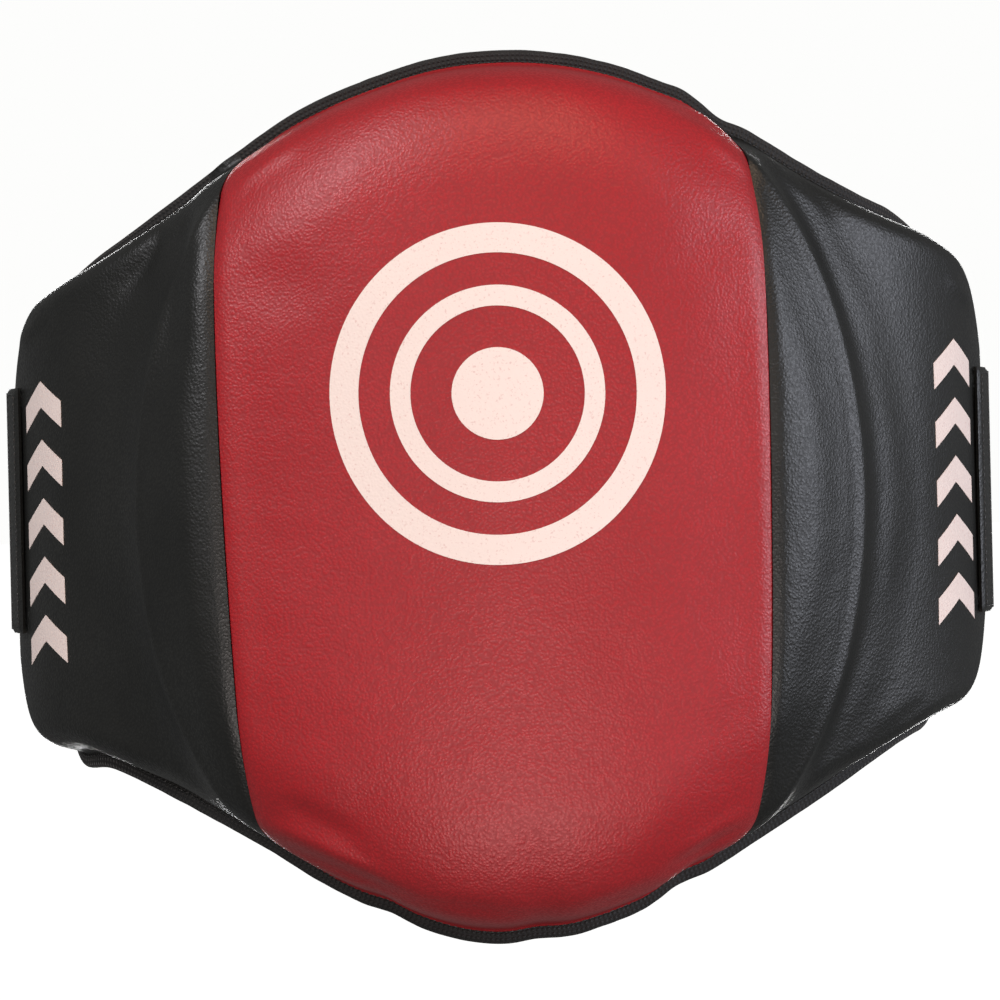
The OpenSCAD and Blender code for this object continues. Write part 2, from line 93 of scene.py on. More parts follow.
def new_material(name):
    """An empty material and its node tree, Principled shader and texture coordinates."""
    material = bpy.data.materials.new(name)
    material.use_nodes = True
    tree = material.node_tree
    tree.nodes.clear()
    shader = add(tree, "BsdfPrincipled")
    add(tree, "OutputMaterial", {"Surface": shader.outputs["BSDF"]})
    return material, tree, shader, add(tree, "TexCoord").outputs


def soft_light(name, place, size, power, colour):
    """A square softbox at a place, turned to the middle of the pad."""
    bpy.ops.object.light_add(type="AREA", location=place)
    lamp = bpy.context.object
    lamp.name = name
    lamp.rotation_euler = (-Vector(place)).to_track_quat("-Z", "Y").to_euler()
    lamp.data.size = size
    lamp.data.energy = power
    lamp.data.color = hex_colour(colour)[:3]


soft_light("key_softbox", (-1.35, -1.25, 1.35), 1.0, 34, "#fbfaff")
soft_light("right_softbox", (1.90, -0.55, 0.30), 1.1, 27, "#eef2ff")
soft_light("top_softbox", (0.35, -1.60, 1.75), 1.2, 21, "#ffd9b8")
soft_light("low_fill", (0.1, -1.9, -1.00), 1.4, 31, "#fff4f0")
soft_light("rear_softbox", (0.0, 2.4, 0.05), 1.5, 110, "#ffffff")

# The backdrop is bright to the camera and lights the pad only faintly.
world = bpy.data.worlds.new("studio")
bpy.context.scene.world = world
world.use_nodes = True
sky = world.node_tree.nodes["Background"]
sky.inputs["Color"].default_value = hex_colour("#fdfdfc")
to_camera = world.node_tree.nodes.new("ShaderNodeLightPath")
brightness = world.node_tree.nodes.new("ShaderNodeMapRange")
brightness.inputs["To Min"].default_value = 0.17
world.node_tree.links.new(to_camera.outputs["Is Camera Ray"], brightness.inputs["Value"])
world.node_tree.links.new(brightness.outputs["Result"], sky.inputs["Strength"])
bpy.context.scene.view_settings.view_transform = "Standard"

bpy.ops.mesh.primitive_plane_add(size=300, location=(0, 0, cad_box[0][2] - 1.0))
floor = bpy.context.object
floor.name = "floor"
floor_paint, tree, shader, coords = new_material("pale_studio_floor")
mottle = add(tree, "TexNoise", {"Vector": coords["Object"], "Scale": 1.5, "Detail": 2.0})
pale = add(tree, "MixRGB", {"Fac": mottle.outputs["Fac"], "Color1": hex_colour("#f6f6f5"),
                           "Color2": hex_colour("#fbfbfa")})
tree.links.new(pale.outputs["Color"], shader.inputs["Base Color"])
shader.inputs["Roughness"].default_value = 0.9
shader.inputs["Emission Color"].default_value = hex_colour("#fdfdfc")
shader.inputs["Emission Strength"].default_value = 0.93
floor.data.materials.append(floor_paint)
# The floor glows to match the backdrop, and its glow doesn't light the pad from below.
floor.visible_diffuse = floor.visible_glossy = False


# ---- Front centre panel ----
# One sheet of red synthetic leather over the striking block. It is held in the edge tape at the top and
# bottom and sewn to the black side panels, so it swells between its seams and puckers along its edges.
#
# The wearer's side is a wide arc at the belly, belly_turn to each side, and then a tight one at each hip.
belly_r, hip_r, belly_turn = 0.300, 0.115, math.radians(28)
belly_len = belly_turn * belly_r
# Heights at the middle, at a wing and at a wing's end, and lengths along the curve from the middle to the
# wing's end, to the crown's foot and to the seam. The wing narrows over its last corner_run.
pad_h, wing_h, wing_end_h = 0.400, 0.230, 0.120
pad_reach, crown_reach, seam_at, corner_run = 0.266, 0.228, 0.0985, 0.050
# Thickness of the sewn edge, of a wing and of the striking block, and how far in from the flat edge each
# rounds over.
edge_t, flange_w, wing_t, strike_t = 0.005, 0.007, 0.030, 0.072
wing_round, end_round, block_round = 0.014, 0.012, 0.055
# The block's side is a shallow curve. It keeps ridge_share of its height there, after sloping down over
# shoulder_run, and the rest falls away over foot_run.
block_reach, block_side_r, ridge_share = 0.143, 0.290, 0.55
shoulder_run, foot_run = 0.060, 0.038


def ease(k):
    """Runs smoothly from 0 to 1."""
    k = np.clip(k, 0, 1)
    return k * k * (3 - 2 * k)


def bulge(distance, run):
    """Rises from 0 to 1 along a quarter of an ellipse."""
    return np.sqrt(1 - (1 - np.clip(distance / run, 0, 1)) ** 2)


def lay(s, z, t):
    """Where a place on the pad's pattern comes on the body: s along it, z up, t out from the wearer."""
    s, z, t = np.broadcast_arrays(*(np.asarray(c, float) for c in (s, z, t)))
    a = np.abs(s)
    turn = np.where(a < belly_len, a / belly_r, belly_turn + (a - belly_len) / hip_r)
    hip = a >= belly_len
    x = np.where(hip, belly_r * math.sin(belly_turn) + hip_r * (np.sin(turn) - math.sin(belly_turn)),
                 belly_r * np.sin(turn))
    y = np.where(hip, belly_r * (1 - math.cos(belly_turn)) + hip_r * (math.cos(belly_turn) - np.cos(turn)),
                 belly_r * (1 - np.cos(turn)))
    return np.stack([np.sign(s) * (x + t * np.sin(turn)), y - t * np.cos(turn), z], axis=-1)


# Small waves in the sewn edge: where each is along the pad, how wide and how high.
top_waves = ((0.103, 0.009, -0.0030), (0.086, 0.008, 0.0010))
bottom_waves = ((0.076, 0.010, -0.0028), (0.012, 0.009, -0.0016), (-0.052, 0.008, -0.0015))


def waves(s, rows):
    """Height of a row of small waves at a length from the middle."""
    return sum(high * np.exp(-((s - at) / wide) ** 2) for at, wide, high in rows)


def rim(s, up=0):
    """Half height of the pad at a length from its middle. With up 1 it is the top edge, cut fuller on the
    right; with up -1 the bottom edge, a little shallower; with up 0 the plain cut."""
    a = np.abs(s)
    crown = wing_h / 2 + (pad_h - wing_h) / 4 * (1 + np.cos(np.pi * np.minimum(1, a / crown_reach)))
    corner = np.clip((a - pad_reach + corner_run) / corner_run, 0, 1)
    over = 0.0085 * ease((s + 0.01) / 0.12) + 0.004 * ease((-s - 0.04) / 0.06) + waves(s, top_waves)
    under = (-0.0022 - 0.0030 * ease((-s - 0.01) / 0.05) * (1 - ease((-s - 0.10) / 0.04))
             - 0.0030 * ease((-s - 0.08) / 0.06) + 0.0022 * ease((s - 0.10) / 0.06) + waves(s, bottom_waves))
    fuller = np.where(up > 0, over, under) * (1 - ease((a - 0.19) / 0.05))
    return crown - (wing_h - wing_end_h) / 2 * corner ** 2 + np.where(np.asarray(up) == 0, 0, fuller)


def rim_stretch(s):
    """How much longer a step in from the edge is when taken straight up or down."""
    a = np.abs(s)
    slope = (rim(a + 0.001) - rim(np.maximum(a - 0.001, 0))) / 0.002
    return np.minimum(2, np.sqrt(1 + slope ** 2))


def from_rim(s, z):
    """How far in from the pad's edge a place on the pattern is."""
    return (rim(s, np.sign(z)) - np.abs(z)) / rim_stretch(s)


def block_edge(z):
    """Length from the middle to the block's side at a height."""
    return block_reach - block_side_r + np.sqrt(block_side_r ** 2 - z ** 2)


def padding(s, z):
    """Height of the covers above the wearer's side."""
    a, d = np.abs(s), block_edge(z) - np.abs(s)
    inside = 1 - (1 - ridge_share) * (1 - np.clip(d / shoulder_run, 0, 1)) ** 2
    outside = ridge_share * np.clip(1 + d / foot_run, 0, 1) ** 2
    rise = np.where(d > 0, inside, outside)
    edge = from_rim(s, z) - flange_w
    return (edge_t + (wing_t - edge_t) * bulge(edge, wing_round) * bulge(pad_reach - a - flange_w, end_round)
            + (strike_t - wing_t) * bulge(edge, block_round) * rise)


def sag(s):
    """How far each wing's end is from level: the left one hangs low and the right one sits a little high."""
    return 0.005 * ease((s - 0.12) / 0.13) - 0.0085 * ease((-s - 0.08) / 0.19)


def on_pad(s, z, t):
    """lay() with the wing ends at the heights they hang at."""
    return lay(s, z + sag(s), t)


def seam(z, side):
    """Length from the middle to the sewn seam, flared at its ends. The left one leans out at the top."""
    flare = np.where(side < 0, 0.0040, 0.0010) * np.abs(z / 0.160) ** 5
    lean = np.where(side < 0, 0.0024 + 0.034 * z, 0.008 * z)
    return side * (seam_at + flare + lean)


# About where a seam meets the pad's edge: its length from the middle and its height. Each wrap of a cover
# or lining starts from here to find the edge.
seam_end_s, seam_end_z = 0.106, 0.14


def cut_cloth(name, across, up, wrap):
    """A flat piece of cloth, across by up squares, wrapped into place. wrap(u, v) gives each corner's place
    and its place on the flat pattern, which the weave follows."""
    bpy.ops.object.select_all(action="DESELECT")
    bpy.ops.mesh.primitive_grid_add(x_subdivisions=across, y_subdivisions=up, size=2)
    piece = bpy.context.object
    piece.name = piece.data.name = name
    mesh = piece.data
    flat = np.empty(len(mesh.vertices) * 3)
    mesh.vertices.foreach_get("co", flat)
    places, pattern = wrap(flat[0::3], flat[1::3])
    mesh.vertices.foreach_set("co", np.asarray(places, float).ravel())
    corner = np.empty(len(mesh.loops), dtype=np.int32)
    mesh.loops.foreach_get("vertex_index", corner)
    mesh.uv_layers.active.data.foreach_set("uv", np.asarray(pattern, float)[corner].ravel())
    mesh.update()
    return piece


def places_of(piece):
    """Where each corner of a piece is."""
    co = np.empty(len(piece.data.vertices) * 3)
    piece.data.vertices.foreach_get("co", co)
    return co.reshape(-1, 3)


def pattern_of(piece):
    """Where each corner of a cloth piece is on its flat pattern."""
    corner = np.empty(len(piece.data.loops), dtype=np.int32)
    piece.data.loops.foreach_get("vertex_index", corner)
    flat = np.empty(len(corner) * 2)
    piece.data.uv_layers.active.data.foreach_get("uv", flat)
    pattern = np.zeros((len(piece.data.vertices), 2))
    pattern[corner] = flat.reshape(-1, 2)
    return pattern.T


def finish_with(piece, kind, **settings):
    """Adds a modifier and applies it."""
    bpy.ops.object.select_all(action="DESELECT")
    piece.select_set(True)
    bpy.context.view_layer.objects.active = piece
    modifier = piece.modifiers.new(kind.lower(), kind)
    for key, value in settings.items():
        setattr(modifier, key, value)
    bpy.ops.object.modifier_apply(modifier=modifier.name)


def make_solid(piece, thickness, rounds=1):
    """Smooths a cloth piece and gives it its thickness, inwards from its face."""
    if rounds:
        finish_with(piece, "SUBSURF", levels=rounds, render_levels=rounds, boundary_smooth="PRESERVE_CORNERS")
    finish_with(piece, "SOLIDIFY", thickness=thickness, offset=-1.0, use_even_offset=False)
    bpy.ops.object.shade_smooth_by_angle(angle=math.radians(50))


def fill_out(piece, rows, held, pressure, slack, most, steps=18, passes=14):
    """Swells a cover that is held at some corners, as its foam and wadding do, by no more than a limit. The
    small wrinkles are then eased out, as in a cover pulled tight. rows is how many rows of corners it has."""
    before = places_of(piece)
    group = piece.vertex_groups.new(name="sewn")
    for k in np.unique(np.round(held, 2)):
        if k > 0:
            group.add(np.flatnonzero(np.round(held, 2) == k).tolist(), float(k), "REPLACE")
    cloth = piece.modifiers.new("cloth", "CLOTH")
    cloth.settings.vertex_group_mass = group.name
    cloth.settings.quality = 6
    cloth.settings.mass = 0.4
    cloth.settings.use_pressure = True
    cloth.settings.uniform_pressure_force = pressure
    cloth.settings.shrink_min = -slack
    cloth.settings.tension_stiffness = cloth.settings.compression_stiffness = 25
    cloth.settings.bending_stiffness = 2.5
    cloth.settings.effector_weights.gravity = 0
    scene = bpy.context.scene
    for step in range(1, steps + 1):
        scene.frame_set(step)
    moved = piece.evaluated_get(bpy.context.evaluated_depsgraph_get()).to_mesh()
    after = np.empty(len(moved.vertices) * 3)
    moved.vertices.foreach_get("co", after)
    piece.modifiers.remove(cloth)
    piece.vertex_groups.remove(group)
    scene.frame_set(1)
    shift = after.reshape(-1, 3) - before
    length = np.linalg.norm(shift, axis=1, keepdims=True) + 1e-9
    shift *= most * np.tanh(length / most) / length
    free, shift = (1 - held).reshape(rows, -1, 1), shift.reshape(rows, -1, 3)
    for _ in range(passes):
        wide = np.pad(shift, ((1, 1), (1, 1), (0, 0)), mode="edge")
        shift = free * (wide[:-2, 1:-1] + wide[2:, 1:-1] + wide[1:-1, :-2] + wide[1:-1, 2:] + 2 * shift) / 6
    shift = shift.reshape(-1, 3)
    piece.data.vertices.foreach_set("co", (before + shift).ravel())
    piece.data.update()


def fold(s, z, start, end, width, depth):
    """A soft fold in a cover along a line on the pattern, fading out at its ends."""
    (s0, z0), (s1, z1) = start, end
    length = math.hypot(s1 - s0, z1 - z0)
    along = ((s - s0) * (s1 - s0) + (z - z0) * (z1 - z0)) / length
    off = ((s - s0) * (z1 - z0) - (z - z0) * (s1 - s0)) / length
    bow = off + 0.10 * along * (length - along) / length
    fade = ease(along / (0.35 * length)) * ease((length - along) / (0.35 * length))
    return depth * fade * np.exp(-(bow / width) ** 2)


def press_folds(piece, pattern, folds):
    """Moves a cover in or out along its folds, each given by its start, end, width and depth."""
    s, z = pattern
    change = sum(fold(s, z, *one) for one in folds)
    places = places_of(piece) + lay(s, z, change) - lay(s, z, 0)
    piece.data.vertices.foreach_set("co", places.ravel())
    piece.data.update()


def synthetic_leather(name, dark, light, valley, rough, shine):
    """Coated synthetic leather with a fine pebble grain pressed in by rollers, 1 mm from pebble to pebble
    and drawn at 1.3 mm so that it shows: satin, with darker valleys, and patches that are a little paler
    where it has been handled."""
    material, tree, shader, coords = new_material(name)
    where = coords["Object"]
    pebble = add(tree, "TexVoronoi", {"Vector": where, "Scale": 1 / 0.0013, "Smoothness": 0.6},
                 feature="SMOOTH_F1").outputs["Distance"]
    crack = add(tree, "TexNoise", {"Vector": where, "Scale": 1 / 0.0010, "Detail": 3.0,
                                   "Roughness": 0.65}).outputs["Fac"]
    patch = add(tree, "TexNoise", {"Vector": where, "Scale": 14.0, "Detail": 4.0,
                                   "Roughness": 0.55}).outputs["Fac"]
    dimple = add(tree, "TexNoise", {"Vector": where, "Scale": 45.0, "Detail": 2.0}).outputs["Fac"]
    grain = add(tree, "Math", {0: crack, 1: 0.45, 2: pebble}, operation="MULTIPLY_ADD").outputs[0]
    tint = add(tree, "MapRange", {"Value": patch, "From Min": 0.35, "From Max": 0.7}).outputs[0]
    base = add(tree, "MixRGB", {"Fac": tint, "Color1": hex_colour(dark), "Color2": hex_colour(light)})
    low = add(tree, "MapRange", {"Value": grain, "From Min": 0.45, "From Max": 0.85, "To Max": 0.65})
    colour = add(tree, "MixRGB", {"Fac": low.outputs[0], "Color1": base.outputs[0],
                                  "Color2": hex_colour(valley)})
    gloss = add(tree, "MapRange", {"Value": grain, "From Min": 0.3, "From Max": 0.9,
                                   "To Min": rough - 0.05, "To Max": rough + 0.12})
    soft = add(tree, "Bump", {"Strength": 0.35, "Distance": 0.0016, "Height": dimple})
    bump = add(tree, "Bump", {"Strength": 0.5, "Distance": 0.0004, "Height": grain,
                              "Normal": soft.outputs[0]}, invert=True)
    for socket, value in (("Base Color", colour), ("Roughness", gloss), ("Normal", bump)):
        tree.links.new(value.outputs[0], shader.inputs[socket])
    shader.inputs["IOR"].default_value = 1.5
    shader.inputs["Specular IOR Level"].default_value = shine
    return material


red_leather = synthetic_leather("red_synthetic_leather", "#9d1a20", "#a62127", "#85161c", 0.38, 0.48)
black_leather = synthetic_leather("black_synthetic_leather", "#141513", "#1f201e", "#0a0b0a", 0.37, 0.45)


def centre_wrap(u, v):
    """Wraps the red panel over the block, rolled in at its seams and pulled down towards its corners."""
    z = v * rim(u * seam_end_s, v)
    s = np.where(u < 0, -u * seam(z, -1), u * seam(z, 1))
    z = v * rim(s, v)
    side = np.abs(np.where(u < 0, seam(z, -1), seam(z, 1))) - np.abs(s)
    t = padding(s, z) - 0.0032 * (1 - bulge(side, 0.006)) - 0.004 * bulge(side, 0.05) * bulge(
        from_rim(s, z) - flange_w, 0.04)
    return on_pad(s, z, t), np.stack([s, z], axis=-1)


centre = cut_cloth("front_centre_panel_cover", 66, 124, centre_wrap)
s, z = pattern_of(centre)
side = np.minimum(seam(z, 1) - s, s - seam(z, -1))
held = np.where((from_rim(s, z) < flange_w) | (side < 0.001), 1.0, 0.0)
fill_out(centre, rows=125, held=held, pressure=6.0, slack=0.003, most=0.005)
# The puckers at the panel's ends: where each starts and ends on the pattern, its width and its depth.
press_folds(centre, (s, z), [
    ((-0.104, -0.1450), (-0.022, -0.1820), 0.0024, -0.0046),
    ((-0.098, -0.1370), (-0.038, -0.1680), 0.0034, 0.0026),
    ((-0.088, -0.1280), (-0.050, -0.1500), 0.0045, -0.0020),
    ((-0.040, -0.1740), (0.016, -0.1850), 0.0026, -0.0030),
    ((0.020, -0.1850), (0.064, -0.1690), 0.0026, -0.0032),
    ((0.054, -0.1680), (0.098, -0.1440), 0.0028, -0.0040),
    ((0.060, -0.1600), (0.096, -0.1370), 0.0036, 0.0018),
    ((-0.110, 0.148), (-0.062, 0.178), 0.0030, -0.0036),
    ((-0.104, 0.136), (-0.070, 0.160), 0.0036, 0.0022),
    ((0.062, 0.178), (0.104, 0.152), 0.0030, -0.0038),
    ((0.078, 0.160), (0.102, 0.138), 0.0036, 0.0018),
])
make_solid(centre, 0.0012)
centre.data.materials.append(red_leather)
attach(centre, "pad")
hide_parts("front_centre_panel", "strike_foam", "core_foam", "comfort_foam")


# ---- Black side panels ----
# Each side is one sheet of black synthetic leather, from the red panel's seam over the step at the
# block's edge to the end of the wing. The block's edge prints through it as a long curved ridge. It bends
# with the wing at flex_at, the line where the thick foam stops, but here it is made unbent.
flex_at = 0.183


def side_span(z, side):
    """The side panel's near and far lengths, in rising order."""
    near, far = seam(z, side) + side * 0.0001, side * pad_reach
    return (near, far) if side > 0 else (far, near)


def side_panel(side, name):
    """Cuts and fills one side panel, held at its edges, under the belt's tab and along the block's edge."""
    def wrap(u, v):
        k = (u + 1) / 2
        low, high = side_span(v * seam_end_z, side)
        z = v * rim(low + (high - low) * k, v)
        low, high = side_span(z, side)
        s = low + (high - low) * k
        z = v * rim(s, v)
        near = np.abs(s - seam(z, side))
        roll = 0.0032 * (1 - bulge(near, 0.006))
        puff = 0.0025 * np.exp(-((near - 0.012) / 0.008) ** 2) * ease((z + 0.16) / 0.1) * (side < 0)
        return on_pad(s, z, padding(s, z) - roll + puff), np.stack([s, z], axis=-1)

    panel = cut_cloth(name, 62, 104, wrap)
    s, z = pattern_of(panel)
    a = np.abs(s)
    edge = (from_rim(s, z) < flange_w) | (pad_reach - a < flange_w) | (np.abs(s - seam(z, side)) < 0.002)
    under_belt = (a > 0.224) & (np.abs(z) < 0.064)
    ridge = 0.8 * np.exp(-((a - block_edge(z)) / 0.005) ** 2)
    held = np.where(edge | under_belt, 1.0, np.where(ridge > 0.2, ridge, 0))
    fill_out(panel, rows=105, held=held, pressure=4.0, slack=0.002, most=0.003)
    return panel, (s, z)


def block_ridge(s, z, side):
    """The block's hard edge shows as a welt with a trough on each side."""
    past = np.abs(s) - block_edge(z)
    shape = (0.0024 * np.exp(-(past / 0.0036) ** 2) - 0.0030 * np.exp(-((past - 0.011) / 0.0075) ** 2)
             - 0.0020 * np.exp(-((past + 0.016) / 0.010) ** 2))
    return shape * bulge(from_rim(s, z) - flange_w, 0.03) * (1.0 if side > 0 else 0.4)


def bend_with_wing(piece, side):
    """Bakes the piece's place into its mesh. The ends of its bend, 14 mm each side of the flex line, are
    worked out but not used, so the piece is not bent with the wing.
    """
    start, end = lay([side * (flex_at - 0.014), side * (flex_at + 0.014)], 0, 0.015)
    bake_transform(piece)


right_side, pattern = side_panel(1, "right_side_cover")
press_folds(right_side, pattern, [
    ((0.118, 0.150), (0.150, 0.120), 0.0030, -0.0018),
    ((0.200, 0.095), (0.232, 0.080), 0.0040, 0.0014),
    ((0.150, -0.118), (0.190, -0.098), 0.0045, -0.0016),
])
left_side, pattern = side_panel(-1, "left_side_cover")
press_folds(left_side, pattern, [
    ((-0.116, 0.150), (-0.112, 0.060), 0.0050, 0.0012),
    ((-0.128, 0.146), (-0.122, 0.040), 0.0070, -0.0020),
    ((-0.136, 0.136), (-0.160, 0.096), 0.0045, -0.0018),
    ((-0.120, -0.135), (-0.165, -0.110), 0.0040, -0.0018),
    ((-0.200, 0.098), (-0.235, 0.085), 0.0040, 0.0014),
])
for panel, side, word in ((right_side, 1, "right"), (left_side, -1, "left")):
    finish_with(panel, "SUBSURF", levels=1, render_levels=1, boundary_smooth="PRESERVE_CORNERS")
    s, z = pattern_of(panel)
    raised = places_of(panel) + lay(s, z, block_ridge(s, z, side)) - lay(s, z, 0)
    panel.data.vertices.foreach_set("co", raised.ravel())
    make_solid(panel, 0.0012, 0)
    panel.data.materials.append(black_leather)
    bend_with_wing(panel, side)
    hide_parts("front_%s_shoulder" % word, word + "_wing_cover", word + "_wing_foam")


# ---- Strike target and wing chevrons ----
# White ink screen-printed on the covers: a plain target on the red panel and a column of chevrons on
# each wing. Each print is a film 0.15 mm thick that lies on the leather and shows its grain.
def print_film(name, shapes, cover, node, body):
    """Lays flat ink shapes on a cover. shapes holds wraps that give a shape's places on the pattern. They
    start 3 mm above the cover and are then drawn down on to it."""
    films = []
    for wrap, across, up in shapes:
        def over(u, v):
            s, z = wrap(u, v)
            return on_pad(s, z, padding(s, z) + 0.003), np.stack([s, z], axis=-1)
        films.append(cut_cloth(name, across, up, over))
    bpy.ops.object.select_all(action="DESELECT")
    for film in films:
        film.select_set(True)
    bpy.context.view_layer.objects.active = films[0]
    bpy.ops.object.join()
    film = bpy.context.object
    film.name = film.data.name = name
    bpy.ops.object.mode_set(mode="EDIT")
    bpy.ops.mesh.select_all(action="SELECT")
    bpy.ops.mesh.remove_doubles(threshold=0.00002)
    bpy.ops.object.mode_set(mode="OBJECT")
    finish_with(film, "SHRINKWRAP", target=cover, wrap_method="NEAREST_SURFACEPOINT",
                wrap_mode="ABOVE_SURFACE", offset=0.00022)
    finish_with(film, "SOLIDIFY", thickness=0.00015, offset=-1.0)
    bpy.ops.object.shade_smooth_by_angle(angle=math.radians(50))
    film.data.materials.append(white_ink)
    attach(film, body)
    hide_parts(node)
    return film


def screen_ink(name):
    """Matt white screen ink with the leather's pebbles showing through, and pinholes where it missed
    the valleys of the grain."""
    material, tree, shader, coords = new_material(name)
    where = coords["Object"]
    pebble = add(tree, "TexVoronoi", {"Vector": where, "Scale": 1 / 0.0012, "Smoothness": 0.7},
                 feature="SMOOTH_F1").outputs["Distance"]
    miss = add(tree, "TexNoise", {"Vector": where, "Scale": 1 / 0.0011, "Detail": 2.0}).outputs["Fac"]
    worn = add(tree, "MapRange", {"Value": miss, "From Min": 0.60, "From Max": 0.72, "To Max": 0.5})
    colour = add(tree, "MixRGB", {"Fac": worn.outputs[0], "Color1": hex_colour("#e6d6cf"),
                                  "Color2": hex_colour("#c99d97")})
    bump = add(tree, "Bump", {"Strength": 0.35, "Distance": 0.0003, "Height": pebble}, invert=True)
    tree.links.new(colour.outputs[0], shader.inputs["Base Color"])
    tree.links.new(bump.outputs[0], shader.inputs["Normal"])
    shader.inputs["Roughness"].default_value = 0.5
    return material


white_ink = screen_ink("white_screen_ink")
target_z = 0.046
squeeze = belly_r / (belly_r + strike_t)


def ring(outer, width):
    """A ring of the target; its squares run round it. It is round on the face, so narrower on the pattern."""
    def wrap(u, v):
        angle, r = -u * math.pi, outer - width * (1 - v) / 2
        return squeeze * r * np.cos(angle), target_z + r * np.sin(angle)
    return wrap


def disc(r):
    """The target's middle, from a square pulled round."""
    def wrap(u, v):
        return squeeze * r * u * np.sqrt(1 - v ** 2 / 2), target_z + r * v * np.sqrt(1 - u ** 2 / 2)
    return wrap


print_film("strike_target_ink", [(ring(0.074, 0.013), 128, 5), (ring(0.047, 0.009), 96, 4),
                                 (disc(0.020), 14, 14)], centre, "strike_target_print", "pad")


# The chevrons stand chevron_gap apart, and their outer ends are chevron_to along the pattern.
chevrons, chevron_gap, chevron_to = 5, 0.027, 0.224
chevron_w, chevron_bar, chevron_fall = 0.032, 0.012, 0.0107


def chevron(side, number):
    """One chevron of a wing's column, pointing up: a bar bent down by chevron_fall at each end."""
    def wrap(u, v):
        s = side * (chevron_to - chevron_w * (1 - side * u) / 2)
        z = (number - (chevrons - 1) / 2) * chevron_gap + chevron_bar * (v + 1) / 2 - chevron_fall * np.abs(u)
        return s, z
    return wrap


for panel, side, word in ((right_side, 1, "right"), (left_side, -1, "left")):
    print_film(word + "_wing_chevrons_ink", [(chevron(side, k), 12, 5) for k in range(chevrons)], panel,
               word + "_wing_print", word + "_wing")


# ---- Back linings ----
# Black woven nylon over the soft comfort foam, in three parts sewn along the same lines as the front.
# It is a little full, so it swells towards the wearer between its seams.
wave_run = 0.314  # a wave texture repeats at this length when its scale is 1


def woven_cloth(name, dark, light, thread, rough, sheen, depth=0.5):
    """Plain woven cloth: threads over and under each other. The thread is the real pitch in metres, or
    coarser where the real one is too fine to show."""
    material, tree, shader, coords = new_material(name)
    where = coords["UV"]
    across = add(tree, "TexWave", {"Vector": where, "Scale": wave_run / (2 * thread), "Distortion": 0.4,
                                   "Detail Scale": 3.0}, bands_direction="X").outputs["Fac"]
    along = add(tree, "TexWave", {"Vector": where, "Scale": wave_run / (2 * thread), "Distortion": 0.4,
                                  "Detail Scale": 3.0}, bands_direction="Y").outputs["Fac"]
    weave = add(tree, "Math", {0: across, 1: along}, operation="MULTIPLY").outputs[0]
    uneven = add(tree, "TexNoise", {"Vector": where, "Scale": 60.0, "Detail": 4.0}).outputs["Fac"]
    lift = add(tree, "Math", {0: weave, 1: uneven}, operation="ADD").outputs[0]
    mix = add(tree, "MapRange", {"Value": lift, "From Min": 0.4, "From Max": 1.2}).outputs[0]
    colour = add(tree, "MixRGB", {"Fac": mix, "Color1": hex_colour(dark), "Color2": hex_colour(light)})
    bump = add(tree, "Bump", {"Strength": depth, "Distance": thread * 0.6, "Height": weave})
    tree.links.new(colour.outputs[0], shader.inputs["Base Color"])
    tree.links.new(bump.outputs[0], shader.inputs["Normal"])
    shader.inputs["Roughness"].default_value = rough
    shader.inputs["Sheen Weight"].default_value = sheen
    shader.inputs["Sheen Roughness"].default_value = 0.4
    return material


nylon = woven_cloth("black_nylon_oxford", "#141416", "#2f3034", 0.0009, 0.50, 0.15)


def lining(name, low, high, across, crown):
    """A lining from side line low(z) to high(z)."""
    def wrap(u, v):
        k = (u + 1) / 2
        z = v * rim(low(v * seam_end_z) * (1 - k) + high(v * seam_end_z) * k, v)
        s = low(z) * (1 - k) + high(z) * k
        z = v * rim(s, v)
        near = np.minimum(s - low(z), high(z) - s)
        swell = bulge(near, 0.05) * bulge(from_rim(s, z) - flange_w, 0.04)
        ripple = 0.0006 * np.sin(90 * z + 40 * s) * np.sin(55 * s - 25 * z)
        return on_pad(s, z, 0.0006 - crown * swell + ripple * swell), np.stack([s, z], axis=-1)

    piece = cut_cloth(name, across, 96, wrap)
    piece.data.flip_normals()  # its face is towards the wearer
    make_solid(piece, 0.0009)
    piece.data.materials.append(nylon)
    return piece


centre_lining = lining("back_centre_lining", lambda z: seam(z, -1), lambda z: seam(z, 1), 48, 0.0030)
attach(centre_lining, "pad")
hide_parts("back_lining")
for side, word in ((1, "right"), (-1, "left")):
    ends = [lambda z, side=side: seam(z, side), lambda z, side=side: z * 0 + side * pad_reach]
    piece = lining(word + "_side_lining", *(ends if side > 0 else ends[::-1]), 40, 0.0020)
    bend_with_wing(piece, side)
    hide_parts(word + "_wing_lining")


# ---- Edge tape ----
# Black woven tape 20 mm wide, folded over the raw edges of the covers and lining all round the pad and
# sewn through with one row of stitches. Each half runs from the middle of the crown round a wing to the
# middle of the bottom, and its ends lap.
edge_tape = woven_cloth("black_woven_edge_tape", "#080808", "#201f1e", 0.0011, 0.75, 0.12, 0.8)
rng = np.random.default_rng(7)


def smooth_noise(count, run):
    """Gentle random unevenness along a line, about -1 to 1."""
    kernel = np.exp(-np.linspace(-2, 2, max(3, int(run))) ** 2)
    rough = np.convolve(rng.standard_normal(count + len(kernel)), kernel, "same")[:count]
    return rough / (np.abs(rough).max() + 1e-9)


def resample(points, step):
    """The same line with evenly spaced points, and the length at each."""
    run = np.concatenate([[0], np.cumsum(np.linalg.norm(np.diff(points, axis=0), axis=1))])
    length = np.linspace(0, run[-1], max(2, int(round(run[-1] / step)) + 1))
    return np.stack([np.interp(length, run, points[:, k]) for k in range(points.shape[1])], axis=-1), length


